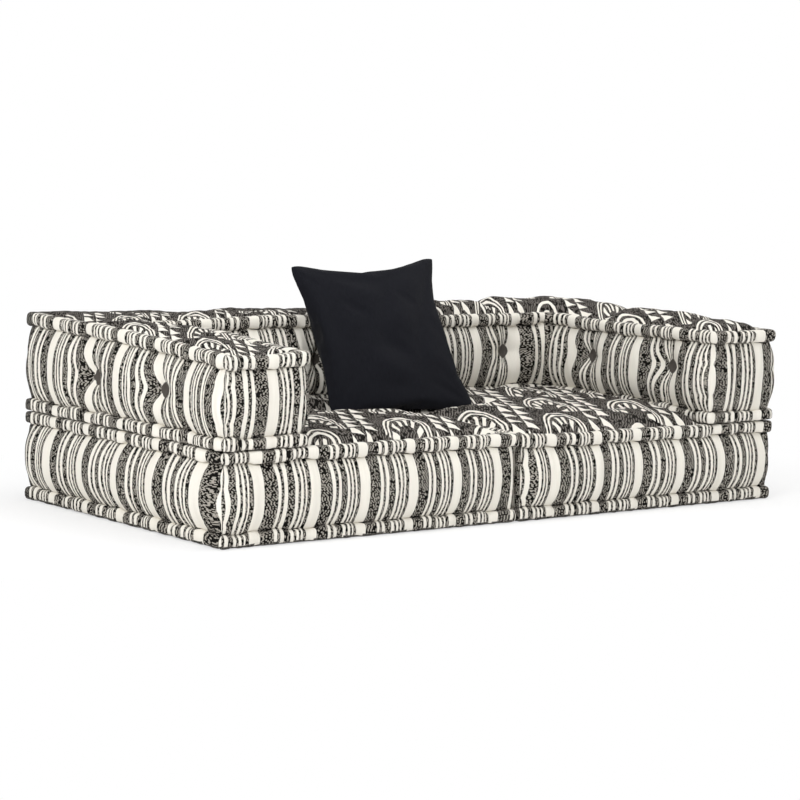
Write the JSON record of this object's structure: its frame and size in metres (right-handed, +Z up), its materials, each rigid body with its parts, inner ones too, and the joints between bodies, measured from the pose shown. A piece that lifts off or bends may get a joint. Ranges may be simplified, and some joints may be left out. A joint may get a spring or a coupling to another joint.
{
  "type": "modular sofa",
  "caption": "Low modular floor sofa: square seat cushions, L-shaped arm-and-back surround cushions with rolled edges and tufts, and a loose pillow.",
  "frame": {"origin": "on the floor under the middle of the row (bottom centre of the bounding box)", "axes": "+X along the row to the sitter's left arm side (the right side of the picture), -Y is the front, +Z up"},
  "size_m": [2.0006, 1, 0.6957],
  "materials": {
    "striped_cloth": "handloom woven stripes",
    "printed_cloth": "woven ground with block print",
    "plain_cloth": "plain weave",
    "tuft_cloth": "plain weave",
    "twine": "twisted cotton",
    "foam": "open-cell foam",
    "pillow_cloth": "smooth plain weave",
    "pillow_fill": "cotton inner"
  },
  "bodies": {
    "seat_left": {"seat_left_bottom_roll": "striped_cloth", "seat_left_boxing": "striped_cloth", "seat_left_top_roll": "striped_cloth", "seat_left_bottom_panel": "plain_cloth", "seat_left_core": "foam", "seat_left_top_panel": "printed_cloth"},
    "surround_left": {"surround_left_bottom_roll": "striped_cloth", "surround_left_boxing": "striped_cloth", "surround_left_top_roll": "striped_cloth", "surround_left_bottom_panel": "plain_cloth", "surround_left_arm_core": "foam", "surround_left_back_core": "foam", "surround_left_top_panel": "printed_cloth", "surround_left_tuft_pads": "tuft_cloth", "surround_left_tuft_twines": "twine"},
    "seat_right": {"seat_right_bottom_roll": "striped_cloth", "seat_right_boxing": "striped_cloth", "seat_right_top_roll": "striped_cloth", "seat_right_bottom_panel": "plain_cloth", "seat_right_core": "foam", "seat_right_top_panel": "printed_cloth"},
    "surround_right": {"surround_right_bottom_roll": "striped_cloth", "surround_right_boxing": "striped_cloth", "surround_right_top_roll": "striped_cloth", "surround_right_bottom_panel": "plain_cloth", "surround_right_arm_core": "foam", "surround_right_back_core": "foam", "surround_right_top_panel": "printed_cloth", "surround_right_tuft_pads": "tuft_cloth", "surround_right_tuft_twines": "twine"},
    "pillow": {"pillow_front_cover": "pillow_cloth", "pillow_back_cover": "pillow_cloth", "pillow_insert": "pillow_fill"}
  },
  "joints": [
    {"name": "seat_right_slides_away", "type": "slide", "parent": "seat_left", "child": "seat_right", "axis": [1, 0, 0], "range_m": [0, 0.5]},
    {"name": "surround_left_lifts_off", "type": "slide", "parent": "seat_left", "child": "surround_left", "axis": [0, 0.5736, 0.8192], "range_m": [0, 0.5]},
    {"name": "surround_right_lifts_off", "type": "slide", "parent": "seat_right", "child": "surround_right", "axis": [0, 0.5736, 0.8192], "range_m": [0, 0.5]},
    {"name": "pillow_lifts_off", "type": "slide", "parent": "seat_left", "child": "pillow", "axis": [0, 0, 1], "range_m": [0, 0.5]}
  ]
}
